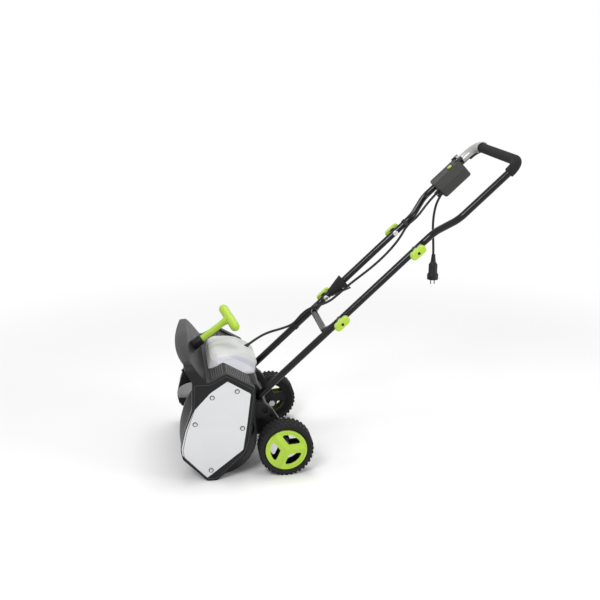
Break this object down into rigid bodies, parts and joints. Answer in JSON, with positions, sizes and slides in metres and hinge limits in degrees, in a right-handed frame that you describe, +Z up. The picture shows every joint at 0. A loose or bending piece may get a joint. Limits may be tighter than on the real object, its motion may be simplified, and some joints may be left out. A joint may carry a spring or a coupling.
{
  "type": "electric snow thrower",
  "caption": "Corded electric snow thrower: black hooded auger housing, silver side plates, lime chute handle, wheels and a folding tube handle with switch box.",
  "frame": {"origin": "bottom centre of the bounding box, without the free mains lead", "axes": "+X forward, +Y to the machine's left, +Z up"},
  "size_m": [1.0503, 0.489, 0.9678],
  "materials": {
    "black_plastic": "fine textured black moulding",
    "silver_plate": "satin silver sheet",
    "silver_cover": "silver grey satin moulding",
    "lime_plastic": "lime green moulding",
    "bolt_steel": "zinc plated steel",
    "scraper": "wear strip",
    "tyre_rubber": "lugged tyre",
    "black_tube": "black powder coat",
    "foam": "closed cell foam",
    "cable_rubber": "cable sheath",
    "paddle_grey": "grey paddle",
    "pulley": "pulley",
    "bail_grey": "light grey lever"
  },
  "bodies": {
    "chassis": {"auger_housing": "black_plastic", "left_side_panel": "black_plastic", "right_side_panel": "black_plastic", "left_side_plate": "silver_plate", "right_side_plate": "silver_plate", "side_plate_screws": "bolt_steel", "hood": "black_plastic", "motor_cover": "silver_cover", "rear_housing": "black_plastic", "left_wheel_arm": "black_plastic", "right_wheel_arm": "black_plastic", "axle_bolts": "bolt_steel", "left_lower_tube": "black_tube", "right_lower_tube": "black_tube", "lower_pivot_bolts": "bolt_steel", "lower_knob_saddles": "black_plastic", "motor_body": "bolt_steel", "drive_belt": "cable_rubber", "shaft_bearings": "bolt_steel", "handle_socket": "black_plastic", "scraper_bar": "scraper", "lower_cable": "cable_rubber", "lower_cable_clip": "black_plastic"},
    "left_wheel": {"left_tyre": "tyre_rubber", "left_rim": "black_plastic", "left_hub_cap": "lime_plastic"},
    "right_wheel": {"right_tyre": "tyre_rubber", "right_rim": "black_plastic", "right_hub_cap": "lime_plastic"},
    "auger": {"auger_shaft": "bolt_steel", "auger_paddles": "paddle_grey", "driven_pulley": "pulley"},
    "motor_rotor": {"motor_shaft": "bolt_steel"},
    "chute_control": {"chute_handle": "lime_plastic", "centre_vane": "black_plastic"},
    "vane_a": {"outer_right_vane": "black_plastic"},
    "vane_b": {"inner_right_vane": "black_plastic"},
    "vane_c": {"inner_left_vane": "black_plastic"},
    "vane_d": {"outer_left_vane": "black_plastic"},
    "vane_link": {"tie_bar": "black_plastic"},
    "middle_frame": {"middle_handle": "black_tube", "upper_pivot_bolts": "bolt_steel", "upper_knob_saddles": "black_plastic", "cord_guide": "black_plastic", "middle_cable": "cable_rubber"},
    "upper_frame": {"upper_handle": "black_tube", "foam_grip": "foam", "switch_box_base": "black_plastic", "switch_box_cover": "black_plastic", "switch_box_glands": "cable_rubber", "upper_cable": "cable_rubber", "upper_cable_clip": "black_plastic", "mains_lead": "cable_rubber", "mains_plug": "cable_rubber"},
    "bail": {"bail_lever": "bail_grey"},
    "lock_button": {"lock_off_button": "lime_plastic"},
    "knob_a": {"left_lower_knob": "lime_plastic"},
    "knob_b": {"right_lower_knob": "lime_plastic"},
    "knob_c": {"left_upper_knob": "lime_plastic"},
    "knob_d": {"right_upper_knob": "lime_plastic"}
  },
  "joints": [
    {"name": "left_wheel_spin", "type": "hinge", "parent": "chassis", "child": "left_wheel", "pos_m": [0.20015, 0.21, 0.085], "axis": [0, 1, 0], "continuous": true},
    {"name": "right_wheel_spin", "type": "hinge", "parent": "chassis", "child": "right_wheel", "pos_m": [0.20015, -0.21, 0.085], "axis": [0, 1, 0], "continuous": true},
    {"name": "auger_spin", "type": "hinge", "parent": "chassis", "child": "auger", "pos_m": [0.41015, 0, 0.129], "axis": [0, 1, 0], "continuous": true},
    {"name": "motor_spin", "type": "hinge", "parent": "chassis", "child": "motor_rotor", "pos_m": [0.33115, 0, 0.268], "axis": [0, 1, 0], "continuous": true},
    {"name": "chute_turn", "type": "hinge", "parent": "chassis", "child": "chute_control", "pos_m": [0.46712, 0, 0.35728], "axis": [-0.8039, 0, 0.5948], "range_deg": [-92, 8]},
    {"name": "vane_a_turn", "type": "hinge", "parent": "chassis", "child": "vane_a", "pos_m": [0.47194, -0.156, 0.35371], "axis": [-0.8039, 0, 0.5948], "range_deg": [-92, 8]},
    {"name": "vane_b_turn", "type": "hinge", "parent": "chassis", "child": "vane_b", "pos_m": [0.47194, -0.078, 0.35371], "axis": [-0.8039, 0, 0.5948], "range_deg": [-92, 8]},
    {"name": "vane_c_turn", "type": "hinge", "parent": "chassis", "child": "vane_c", "pos_m": [0.47194, 0.078, 0.35371], "axis": [-0.8039, 0, 0.5948], "range_deg": [-92, 8]},
    {"name": "vane_d_turn", "type": "hinge", "parent": "chassis", "child": "vane_d", "pos_m": [0.47194, 0.156, 0.35371], "axis": [-0.8039, 0, 0.5948], "range_deg": [-92, 8]},
    {"name": "vane_link_turn", "type": "hinge", "parent": "chute_control", "child": "vane_link", "pos_m": [0.46704, -0.01472, 0.337], "axis": [-0.8039, 0, 0.5948], "range_deg": [-8, 92]},
    {"name": "middle_fold", "type": "hinge", "parent": "chassis", "child": "middle_frame", "pos_m": [0.01735, 0, 0.4611], "axis": [0, 1, 0], "range_deg": [0, 70]},
    {"name": "upper_fold", "type": "hinge", "parent": "middle_frame", "child": "upper_frame", "pos_m": [-0.21454, 0, 0.67546], "axis": [0, 1, 0], "range_deg": [0, 135]},
    {"name": "bail_turn", "type": "hinge", "parent": "upper_frame", "child": "bail", "pos_m": [-0.4426, -0.195, 0.91079], "axis": [0, 1, 0], "range_deg": [0, 14]},
    {"name": "lock_press", "type": "slide", "parent": "upper_frame", "child": "lock_button", "axis": [-0.6788, 0, -0.7343], "range_m": [0, 0.0035], "stiffness_N_per_m": 250},
    {"name": "knob_a_turn", "type": "hinge", "parent": "chassis", "child": "knob_a", "pos_m": [0.01735, 0.16, 0.4611], "axis": [0, 1, 0], "continuous": true},
    {"name": "knob_b_turn", "type": "hinge", "parent": "chassis", "child": "knob_b", "pos_m": [0.01735, -0.16, 0.4611], "axis": [0, 1, 0], "continuous": true},
    {"name": "knob_c_turn", "type": "hinge", "parent": "middle_frame", "child": "knob_c", "pos_m": [-0.21454, 0.16, 0.67546], "axis": [0, 1, 0], "continuous": true},
    {"name": "knob_d_turn", "type": "hinge", "parent": "middle_frame", "child": "knob_d", "pos_m": [-0.21454, -0.16, 0.67546], "axis": [0, 1, 0], "continuous": true}
  ],
  "couplings": [
    {"joint": "motor_spin", "follows": "auger_spin", "ratio": 4},
    {"joint": "vane_a_turn", "follows": "chute_turn", "ratio": 1},
    {"joint": "vane_b_turn", "follows": "chute_turn", "ratio": 1},
    {"joint": "vane_c_turn", "follows": "chute_turn", "ratio": 1},
    {"joint": "vane_d_turn", "follows": "chute_turn", "ratio": 1},
    {"joint": "vane_link_turn", "follows": "chute_turn", "ratio": -1}
  ]
}
